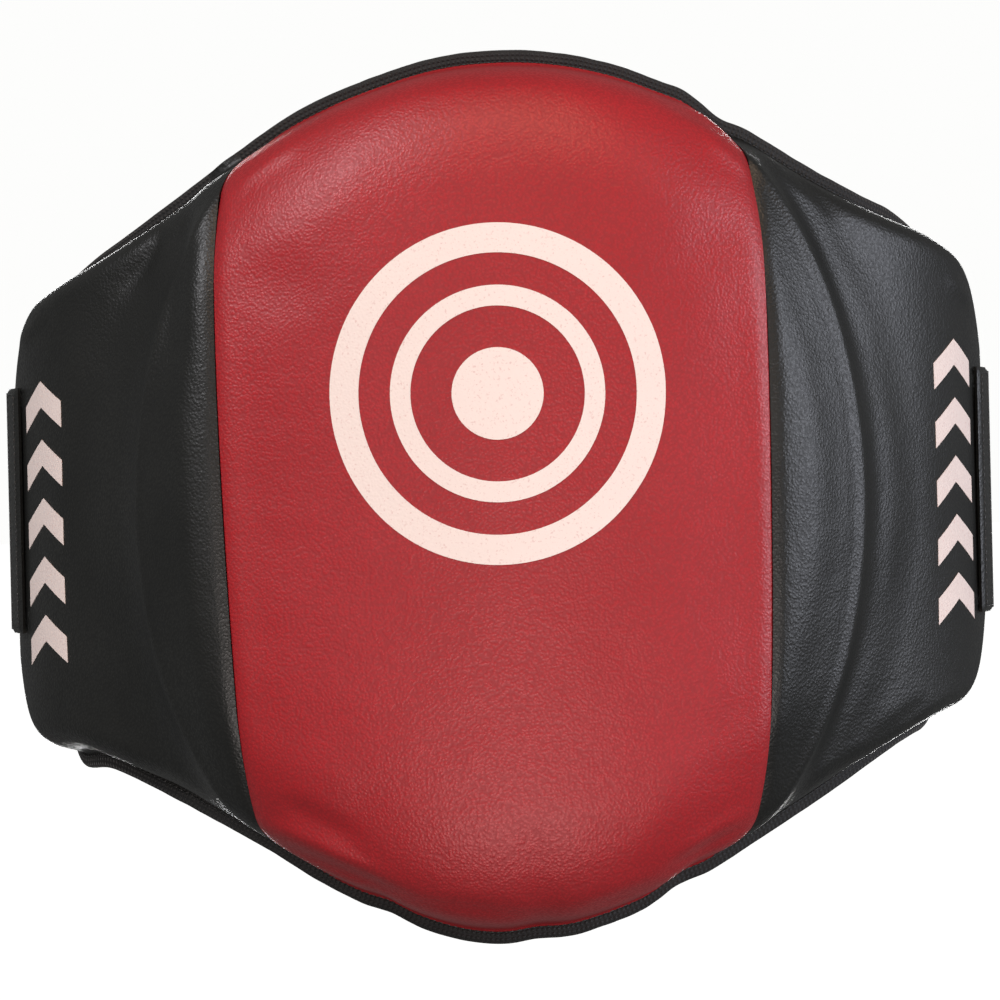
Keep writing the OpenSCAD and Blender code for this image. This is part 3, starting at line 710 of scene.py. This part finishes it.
def inward_of(line, side):
    """Directions across a line on the pattern, to its left for side 1."""
    along = np.gradient(line, axis=0)
    along /= np.linalg.norm(along, axis=1, keepdims=True)
    for _ in range(2):
        along = (np.roll(along, 1, axis=0) + along + np.roll(along, -1, axis=0))
        along[0], along[-1] = along[1], along[-2]
        along /= np.linalg.norm(along, axis=1, keepdims=True)
    return side * np.stack([-along[:, 1], along[:, 0]], axis=-1)


def bind(name, line, side, place, high, cover, slack):
    """Folds tape over an edge. line is the edge on the pattern, place(a, b, t) puts the pattern in space,
    and the tape reaches cover in from the edge, on both faces of cloth that lies from 0 to high. It wavers
    by up to slack."""
    count, out, inward = len(line), 0.00095, inward_of(line, -side)
    section = np.array([[cover, high + 0.0003], [cover - 0.0006, high + out], [cover * 0.5, high + out],
                        [0.0006, high + out * 0.95], [-out * 0.8, high + 0.0001], [-out, high / 2],
                        [-out * 0.8, -0.0001], [0.0006, -out * 0.95], [cover * 0.5, -out],
                        [cover - 0.0006, -out], [cover, -0.0003]])
    lengths = np.concatenate([[0], np.cumsum(np.linalg.norm(np.diff(line, axis=0), axis=1))])
    girth = np.concatenate([[0], np.cumsum(np.linalg.norm(np.diff(section, axis=0), axis=1))])
    still = ease(lengths / 0.02) * ease((lengths[-1] - lengths) / 0.02)
    waver, pucker = smooth_noise(count, 24) * slack * still, smooth_noise(count, 5) * slack * still

    def wrap(u, v):
        i = np.round((u + 1) / 2 * (count - 1)).astype(int)
        j = np.round((v + 1) / 2 * (len(section) - 1)).astype(int)
        c = section[j, 0] + waver[i] * (section[j, 0] > 0.002) + 0.4 * pucker[i]
        t = section[j, 1] + 0.5 * pucker[i] * np.sign(section[j, 1] - high / 2)
        p = line[i] + inward[i] * c[:, None]
        return place(p[:, 0], p[:, 1], t), np.stack([lengths[i], girth[j]], axis=-1)

    tape = cut_cloth(name, count - 1, len(section) - 1, wrap)
    if side < 0:
        tape.data.flip_normals()
    make_solid(tape, 0.0007)
    tape.data.materials.append(edge_tape)
    return tape


def pad_edge(side):
    """The pad's edge on one side, from the middle of the crown round the wing's end to the bottom."""
    a = np.linspace(0, pad_reach, 240)
    top = np.stack([side * a, rim(side * a, 1)], axis=-1)
    end = np.stack([np.full(20, side * pad_reach),
                    np.linspace(wing_end_h / 2, -wing_end_h / 2, 22)[1:-1]], axis=-1)
    bottom = np.stack([side * a[::-1], -rim(side * a[::-1], -1)], axis=-1)
    return resample(np.concatenate([top, end, bottom]), 0.0026)[0]


def draw_out(steps):
    """Draws the selected end of a shape out through steps: each is x, z, half thickness and turn about y."""
    x, z, thick, turn = steps[0]
    for next_x, next_z, next_thick, next_turn in steps[1:]:
        at = (next_x, 0, next_z)
        bpy.ops.mesh.extrude_region_move(TRANSFORM_OT_translate={"value": (next_x - x, 0, next_z - z)})
        bpy.ops.transform.resize(value=(next_thick / thick,) * 3, center_override=at)
        bpy.ops.transform.rotate(value=next_turn - turn, orient_axis="Y", center_override=at)
        x, z, thick, turn = next_x, next_z, next_thick, next_turn


def put_by():
    """Puts the shape just modelled by for copying: its corners and its faces are kept."""
    bpy.ops.object.mode_set(mode="OBJECT")
    bpy.ops.object.transform_apply(location=True, rotation=True, scale=True)
    shape = bpy.context.object
    kept = places_of(shape), [tuple(face.vertices) for face in shape.data.polygons]
    bpy.data.objects.remove(shape)
    return kept


def lay_copies(name, corners, faces, material):
    """One piece made of copies of a shape. corners holds every copy's corners, in place."""
    count = corners.shape[1]
    mesh = bpy.data.meshes.new(name)
    mesh.from_pydata(corners.reshape(-1, 3).tolist(), [],
                     [tuple(i * count + c for c in face) for i in range(len(corners)) for face in faces])
    piece = bpy.data.objects.new(name, mesh)
    bpy.context.scene.collection.objects.link(piece)
    bpy.ops.object.select_all(action="DESELECT")
    piece.select_set(True)
    bpy.context.view_layer.objects.active = piece
    bpy.ops.object.mode_set(mode="EDIT")
    bpy.ops.mesh.select_all(action="SELECT")
    bpy.ops.mesh.normals_make_consistent(inside=False)
    bpy.ops.object.mode_set(mode="OBJECT")
    mesh.materials.append(material)
    return piece


# One stitch is a five-sided bead of thread whose ends dip into the seam. It is modelled 1 long from stitch
# to stitch and 1 in radius, and sew() gives each copy its size.
bpy.ops.object.select_all(action="DESELECT")
bpy.ops.mesh.primitive_circle_add(vertices=5, radius=0.5, fill_type="NGON", location=(-0.42, 0, -0.9),
                                  rotation=(0, math.pi / 2, 0))
bpy.ops.object.mode_set(mode="EDIT")
draw_out([(-0.42, -0.9, 0.5, 0), (-0.30, 0.0, 1.0, 0), (0.0, 0.35, 1.0, 0), (0.30, 0.0, 1.0, 0),
          (0.42, -0.9, 0.5, 0)])
stitch, stitch_faces = put_by()


def sew(name, path, place, t, facing, material, hold, pitch=0.0033, radius=0.00033):
    """A row of stitches along a path on the pattern, on the face at depth t. hold is called with the row,
    to make it ride."""
    path = resample(np.asarray(path, float), pitch / 2)[0]
    here = place(path[:, 0], path[:, 1], t)
    up = (place(path[:, 0], path[:, 1], t + 0.001) - here) * facing
    dense = resample(np.concatenate([here, up], axis=1), pitch)[0]
    at, up = dense[:, :3], (dense[1:, 3:] + dense[:-1, 3:]) / 2
    up /= np.linalg.norm(up, axis=1, keepdims=True)
    middle, ahead = (at[1:] + at[:-1]) / 2, at[1:] - at[:-1]
    across = np.cross(ahead / np.linalg.norm(ahead, axis=1, keepdims=True), up)
    corners = (middle[:, None] + ahead[:, None] * stitch[:, :1]
               + radius * (across[:, None] * stitch[:, 1:2] + up[:, None] * stitch[:, 2:]))
    row = lay_copies(name, corners, stitch_faces, material)
    bpy.ops.object.shade_smooth()
    hold(row)
    return row


def sewing_thread(name, dark, light):
    """Bonded polyester thread, twisted, with a slight shine. The twist is drawn at 0.9 mm, coarser than
    the real 0.5 mm, so that it shows."""
    material, tree, shader, coords = new_material(name)
    twist = add(tree, "TexWave", {"Vector": coords["Object"], "Scale": wave_run / 0.0009, "Distortion": 1.0},
                bands_direction="DIAGONAL").outputs["Fac"]
    colour = add(tree, "MixRGB", {"Fac": twist, "Color1": hex_colour(dark), "Color2": hex_colour(light)})
    bump = add(tree, "Bump", {"Strength": 0.5, "Distance": 0.0002, "Height": twist})
    tree.links.new(colour.outputs[0], shader.inputs["Base Color"])
    tree.links.new(bump.outputs[0], shader.inputs["Normal"])
    shader.inputs["Roughness"].default_value = 0.42
    return material


black_thread = sewing_thread("black_bonded_thread", "#121212", "#333332")

for side, word, node in ((1, "right", "binding_top"), (-1, "left", "binding_bottom")):
    line = pad_edge(side)
    tape = bind(word + "_edge_tape", line, side, on_pad, high=edge_t, cover=0.0064, slack=0.0006)
    bend_with_wing(tape, side)
    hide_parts(node, word + "_wing_binding")
    stitch_line = line + inward_of(line, -side) * 0.0047
    for face_word, t, facing in (("front", edge_t + 0.0010, 1), ("back", -0.0010, -1)):
        sew("%s_edge_%s_stitches" % (word, face_word), stitch_line, on_pad, t, facing, black_thread,
            lambda row, side=side: bend_with_wing(row, side))


# ---- Belt roots ----
# A leather-covered tab sewn flat on each wing's outer face with a box of stitches. The belt's elastic
# comes out of its open end. root_in and root_reach are where the tab starts and ends along the pattern.
root_in, root_reach, root_t = 0.229, 0.2457, 0.0034
belt_w, belt_t = 0.115, 0.0043
layer_gap = 0.00025
on_wing = wing_t + layer_gap


def ride_on(body):
    """What makes a piece ride on one body."""
    return lambda piece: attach(piece, body)


def box_path(a0, a1, half):
    """A rectangle of stitching on the pattern."""
    return [(a0, -half), (a1, -half), (a1, half), (a0, half), (a0, -half)]


for side, word in ((1, "right"), (-1, "left")):
    def wrap(u, v, side=side):
        s = side * ((root_in + root_reach) / 2 + side * u * (root_reach - root_in) / 2)
        z = v * belt_w / 2
        near = np.minimum(belt_w / 2 - np.abs(z), np.abs(s) - root_in)
        return lay(s, z, on_wing + root_t - 0.0014 * (1 - bulge(near, 0.003))), np.stack([s, z], axis=-1)

    tab = cut_cloth(word + "_belt_root_tab", 12, 60, wrap)
    make_solid(tab, 0.0018)
    tab.data.materials.append(black_leather)
    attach(tab, word + "_wing")
    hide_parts(word + "_belt_root")
    root_box = box_path(root_in + 0.0028, root_reach - 0.0025, belt_w / 2 - 0.003)
    sew(word + "_root_stitches", [(side * a, z) for a, z in root_box], lay, on_wing + root_t, 1,
        black_thread, ride_on(word + "_wing"))


# ---- Belt elastics ----
# Wide black ribbed elastic, 87 mm long, between each wing's tab and the belt. It lets the belt stretch
# and swing. It bends from the wing to the belt, but here it lies along the belt's path unbent.
#
# The belt leaves the wing belt_from along the pattern, bends round the hip and meets a wide arc at the
# back.
belt_from, loop_depth, back_r, elastic_len = 0.246, 0.262, 0.430, 0.075
# The right half lies outside the left one by a strap, the loop pile, the hook tape and some room.
loop_t, hook_t, closure_gap = 0.0020, 0.0016, 0.0004
lap = belt_t + loop_t + hook_t + 2 * layer_gap + closure_gap


def belt_path(r, side):
    """Places on a belt whose back has radius r: q along it from the wing, z up, t outwards."""
    turn = belly_turn + (belt_from - belly_len) / hip_r
    leave, centre = lay(belt_from, 0, on_wing)[:2], np.array([0, loop_depth - back_r])
    ahead, away = np.array([-math.sin(turn), math.cos(turn)]), leave - centre
    side_r = (r * r - away @ away) / (2 * (ahead @ away + r))
    bend = leave + side_r * ahead
    join = math.atan2(bend[0] - centre[0], centre[1] - bend[1])
    side_len = (join - turn) * side_r

    def place(q, z, t):
        q, z, t = np.broadcast_arrays(*(np.asarray(c, float) for c in (q, z, t)))
        near = q < side_len
        angle = np.where(near, turn + q / side_r, join + (q - side_len) / r)
        reach = np.where(near, side_r, r) + t
        x = np.where(near, bend[0], centre[0]) + reach * np.sin(angle)
        y = np.where(near, bend[1], centre[1]) - reach * np.cos(angle)
        return np.stack([side * x, y, z], axis=-1)

    return place, side_len + (math.pi - join) * r


left_place, left_half = belt_path(back_r, -1)
right_place, right_half = belt_path(back_r + lap, 1)
# The left strap stops short of the middle of the back, and the flap runs on past it.
left_end, flap_end = left_half - 0.012, right_half + 0.108


def strip(name, place, side, span, width, thickness, level, facing, cells, material, corners=(0, 0)):
    """A flat strip of the belt over a span of its length, with rounded corners at its ends and squares of
    about cells across. level(q, z, near) is its face's depth, near being how far its nearest edge is."""
    (q0, q1), (start, stop) = span, corners

    def half(q):
        def cut(k, r):
            return r * (1 - np.sqrt(1 - np.clip(k, 0, 1) ** 2)) if r else 0
        return width / 2 - cut((stop - (q1 - q)) / max(stop, 1e-6), stop) - cut(
            (start - (q - q0)) / max(start, 1e-6), start)

    def wrap(u, v):
        q = q0 + (q1 - q0) * (u + 1) / 2
        z = v * half(q)
        near = np.minimum(np.minimum(q - q0, q1 - q), half(q) - np.abs(z))
        return place(q, z, level(q, z, near)), np.stack([q, z], axis=-1)

    across = max(4, int(round((q1 - q0) / cells)))
    piece = cut_cloth(name, across, max(4, int(round(width / cells))), wrap)
    if side * facing < 0:
        piece.data.flip_normals()
    make_solid(piece, thickness)
    piece.data.materials.append(material)
    return piece


def ribbed_elastic(name):
    """Woven elastic: rubber cords 2.4 mm apart run along it under matt polyester yarn, so it is ribbed."""
    material, tree, shader, coords = new_material(name)
    where = coords["UV"]
    rib = add(tree, "TexWave", {"Vector": where, "Scale": wave_run / 0.0024},
              bands_direction="Y").outputs["Fac"]
    pick = add(tree, "TexWave", {"Vector": where, "Scale": wave_run / 0.0013, "Distortion": 0.6},
               bands_direction="X").outputs["Fac"]
    lift = add(tree, "Math", {0: rib, 1: pick}, operation="ADD").outputs[0]
    mix = add(tree, "MapRange", {"Value": lift, "From Max": 2.0}).outputs[0]
    colour = add(tree, "MixRGB", {"Fac": mix, "Color1": hex_colour("#0b0b0b"),
                                  "Color2": hex_colour("#2b2b2a")})
    bump = add(tree, "Bump", {"Strength": 0.8, "Distance": 0.0007, "Height": lift})
    tree.links.new(colour.outputs[0], shader.inputs["Base Color"])
    tree.links.new(bump.outputs[0], shader.inputs["Normal"])
    shader.inputs["Roughness"].default_value = 0.75
    shader.inputs["Sheen Weight"].default_value = 0.2
    return material


elastic_finish = ribbed_elastic("black_ribbed_elastic")
for side, word, place in ((-1, "left", left_place), (1, "right", right_place)):
    piece = strip(
        word + "_belt_elastic", place, side, (0.0003, elastic_len + 0.012), width=0.112, thickness=0.0015,
        level=lambda q, z, near: 0.00285 - 0.0002 * np.cos(q * 170), facing=1, cells=0.0036,
        material=elastic_finish)
    start, end = place([0.004, 0.034], 0, 0.002)
    tuple(start)
    tuple(end)
    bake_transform(piece)
    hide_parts(word + "_elastic")


# ---- Belt straps ----
# Each strap is black leather outside and nylon inside over stiff webbing, with woven tape folded over its
# edges. Two rows of stitches, row_z from its middle, hold the webbing. The right strap runs on past the
# middle of the back as the hook flap, which peels up.
row_z = 0.0225


def hold_right(piece):
    """Bakes a right strap piece's place into its mesh. The ends of the bend where the flap peels from the
    strap are worked out but not used, so the piece is not bent.
    """
    start, end = right_place([right_half - 0.022, right_half - 0.004], 0, 0.002)
    tuple(start)
    tuple(end)
    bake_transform(piece)


def strap_face(q, z, near):
    """The outer leather lies a little proud between its stitch rows, which pull it down."""
    rows = np.exp(-((np.abs(z) - row_z) / 0.0022) ** 2)
    wave = 0.00025 * np.sin(q * 61 + 30 * z) * np.sin(z * 90 + 1)
    return belt_t + 0.0004 * bulge(near, 0.012) - 0.0005 * rows + wave * bulge(near, 0.012)


def strap_lining(q, z, near):
    """The lining ripples a little between its edges."""
    return -0.0002 + 0.00012 * np.sin(q * 75 + 40 * z) * bulge(near, 0.012)


def strap_edge(q0, q1, corner):
    """The strap's edge on the pattern: along the top, round the end and back along the bottom."""
    turn = np.linspace(0, math.pi / 2, 9)
    round_end = [q1 - corner + corner * np.sin(turn), belt_w / 2 - corner + corner * np.cos(turn)]
    top = np.concatenate([[[q0, belt_w / 2]], np.stack(round_end, axis=-1)])
    return resample(np.concatenate([top, top[::-1] * [1, -1]]), 0.0026)[0]


strap_corner = 0.022
straps = (
    ("left", -1, left_place, left_end, ride_on("left_belt"), ["left_belt_outer", "left_belt_webbing"],
     ["left_belt_lining"], ["left_belt_binding"]),
    ("right", 1, right_place, flap_end, hold_right,
     ["right_belt_outer", "right_belt_webbing", "flap_outer", "flap_webbing"],
     ["right_belt_lining", "flap_lining"], ["right_belt_binding", "flap_binding"]),
)
for word, side, place, stop, hold, outer_nodes, lining_nodes, tape_nodes in straps:
    span, area = (elastic_len, stop), (stop - elastic_len) * belt_w * 0.99
    outer = strip(word + "_strap_leather", place, side, span, belt_w, thickness=0.0012, level=strap_face,
                  facing=1, cells=0.0048, material=black_leather,
                  corners=(0, strap_corner))
    inner = strip(word + "_strap_lining", place, side, span, belt_w, thickness=0.0009, level=strap_lining,
                  facing=-1, cells=0.0048, material=nylon, corners=(0, strap_corner))
    rim_line = strap_edge(elastic_len, stop, strap_corner)
    tape = bind(word + "_strap_tape", rim_line, side, place, high=belt_t, cover=0.0074, slack=0.0004)
    for piece, nodes in ((outer, outer_nodes), (inner, lining_nodes), (tape, tape_nodes)):
        hold(piece)
        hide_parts(*nodes)
    tape_line = rim_line + inward_of(rim_line, -side) * 0.0056
    for face_word, t, facing in (("outer", belt_t + 0.0010, 1), ("inner", -0.0010, -1)):
        sew("%s_strap_tape_stitches_%s" % (word, face_word), tape_line, place, t, facing, black_thread, hold)
    for z, row_word in ((-row_z, "low"), (row_z, "high")):
        sew("%s_strap_row_%s" % (word, row_word), [(elastic_len + 0.004, z), (stop - 0.014, z)], place,
            belt_t + 0.0003, 1, black_thread, hold)
    sew(word + "_elastic_seam", [(elastic_len + 0.003, -0.049), (elastic_len + 0.003, 0.049),
                                 (elastic_len + 0.009, 0.049), (elastic_len + 0.009, -0.049)],
        place, belt_t + 0.0004, 1, black_thread, ride_on(word + "_belt"))


# ---- Loop patch ----
# A long patch of brushed nylon loop sewn on the left strap's outer face near its end. The hooks under the
# flap press into it and close the belt.
def loop_pile(name):
    """Brushed loop: a dense mat of fine loops about 0.5 mm high, drawn as 1 mm clumps, dull with a soft
    halo where light grazes it."""
    material, tree, shader, coords = new_material(name)
    where = coords["Object"]
    tuft = add(tree, "TexVoronoi", {"Vector": where, "Scale": 1 / 0.0010}).outputs["Distance"]
    fuzz = add(tree, "TexNoise", {"Vector": where, "Scale": 1 / 0.0007, "Detail": 6.0,
                                  "Roughness": 0.8}).outputs["Fac"]
    brushed = add(tree, "TexNoise", {"Vector": where, "Scale": 70.0, "Detail": 3.0}).outputs["Fac"]
    lift = add(tree, "Math", {0: fuzz, 1: tuft}, operation="SUBTRACT").outputs[0]
    mix = add(tree, "MapRange", {"Value": brushed, "From Min": 0.3, "From Max": 0.7}).outputs[0]
    colour = add(tree, "MixRGB", {"Fac": mix, "Color1": hex_colour("#0d0d0e"),
                                  "Color2": hex_colour("#252527")})
    bump = add(tree, "Bump", {"Strength": 1.0, "Distance": 0.0009, "Height": lift})
    tree.links.new(colour.outputs[0], shader.inputs["Base Color"])
    tree.links.new(bump.outputs[0], shader.inputs["Normal"])
    shader.inputs["Roughness"].default_value = 0.95
    shader.inputs["Sheen Weight"].default_value = 0.6
    shader.inputs["Sheen Roughness"].default_value = 0.5
    return material


patch_w, loop_len, patch_end = 0.095, 0.180, left_end - 0.010
loop = strip("loop_patch_pile", left_place, -1, (patch_end - loop_len, patch_end), patch_w, thickness=0.0013,
             level=lambda q, z, near: belt_t + 0.0013 + 0.0008 * bulge(near, 0.003), facing=1, cells=0.0045,
             material=loop_pile("brushed_loop_pile"), corners=(0.008, 0.012))
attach(loop, "left_belt")
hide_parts("loop_patch")
sew("loop_patch_stitches", box_path(patch_end - 0.177, patch_end - 0.003, 0.0445), left_place,
    belt_t + 0.0019, 1, black_thread, ride_on("left_belt"))


# ---- Hook patch ----
# Moulded nylon hook tape sewn under the flap's tip. Rows of small hooks stand on a thin backing, and they
# catch in the loop patch to close the belt.
def moulded_nylon(name):
    """Moulded nylon, semi-gloss, with a faint bluish black and fine flow lines."""
    material, tree, shader, coords = new_material(name)
    flow = add(tree, "TexNoise", {"Vector": coords["Object"], "Scale": 300.0, "Detail": 3.0}).outputs["Fac"]
    colour = add(tree, "MixRGB", {"Fac": flow, "Color1": hex_colour("#0c0c0e"),
                                  "Color2": hex_colour("#26272b")})
    bump = add(tree, "Bump", {"Strength": 0.4, "Distance": 0.0003, "Height": flow})
    tree.links.new(colour.outputs[0], shader.inputs["Base Color"])
    tree.links.new(bump.outputs[0], shader.inputs["Normal"])
    shader.inputs["Roughness"].default_value = 0.38
    shader.inputs["IOR"].default_value = 1.53
    return material


hook_len, hook_end = 0.080, flap_end - 0.010
hook_nylon = moulded_nylon("moulded_hook_nylon")
backing = strip("hook_patch_backing", right_place, 1, (hook_end - hook_len, hook_end), patch_w,
                thickness=0.0005, level=lambda q, z, near: -0.0010 + 0 * q, facing=-1, cells=0.0045,
                material=hook_nylon, corners=(0.008, 0.012))
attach(backing, "hook_flap")
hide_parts("hook_patch")

# One hook, a four-sided stem 0.85 mm high whose tip bends over, copied over the patch in rows 2 mm apart
# that face left and right by turns. The real rows are 1.2 mm apart; they are drawn coarser. None stands at
# the patch's rounded corners.
hook_gap, tip_turn = 0.0020, math.radians(73.3)
bpy.ops.object.select_all(action="DESELECT")
bpy.ops.mesh.primitive_plane_add(size=0.00052)
bpy.ops.object.mode_set(mode="EDIT")
draw_out([(0, 0, 0.00026, 0), (0, 0.00045, 0.00020, 0), (0.00018, 0.00080, 0.00015, 0),
          (0.00048, 0.00082, 0.00012, tip_turn), (0.00060, 0.00060, 0.00008, tip_turn)])
hook, hook_faces = put_by()
spots = np.array([(q, z) for row, z in enumerate(np.arange(-0.0435, 0.0436, hook_gap))
                  for q in np.arange(hook_end - 0.0765 + hook_gap / 2 * (row % 2), hook_end - 0.003,
                                     hook_gap)
                  if hook_end - q >= 0.012 or abs(z) <= 0.0375])
q, z = spots.T[:, :, None]
facing_way = np.where(np.round(z / hook_gap).astype(int) % 2, 1, -1)
corners = right_place(q + facing_way * hook[:, 0], z + hook[:, 1], -0.00098 - hook[:, 2])
hooks = lay_copies("hook_patch_hooks", corners, hook_faces, hook_nylon)
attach(hooks, "hook_flap")
sew("hook_patch_stitches", box_path(hook_end - 0.0785, hook_end - 0.0015, 0.0458), right_place,
    -0.0010, -1, black_thread, ride_on("hook_flap"))


# ---- Pull tab ----
# A doubled piece of 50 mm webbing sewn on the flap's tip with a crossed box of stitches. It is gripped to
# peel the flap open.
webbing = woven_cloth("black_polyester_webbing", "#0d0d0d", "#30302f", 0.0016, 0.6, 0.2, 0.9)
tab_from, tab_len, tab_w, tab_t = flap_end - 0.015, 0.030, 0.050, 0.0017
tab_face = belt_t + 0.0005 + 0.0008 + tab_t  # it lies on the leather and the folded tape
pull_tab = strip("flap_pull_tab", right_place, 1, (tab_from, tab_from + tab_len), tab_w, thickness=tab_t,
                 level=lambda q, z, near: tab_face - 0.0004 * (1 - bulge(near, 0.0015)), facing=1,
                 cells=0.0022, material=webbing, corners=(0, 0.008))
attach(pull_tab, "hook_flap")
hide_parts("pull_tab")
tab_box = box_path(tab_from + 0.002, tab_from + 0.0125, 0.0225)
sew("pull_tab_stitches", tab_box, right_place, tab_face, 1, black_thread, ride_on("hook_flap"))
for way, corner in (("rising", 0), ("falling", 1)):
    sew("pull_tab_cross_" + way, [tab_box[corner], tab_box[corner + 2]], right_place, tab_face, 1,
        black_thread, ride_on("hook_flap"))
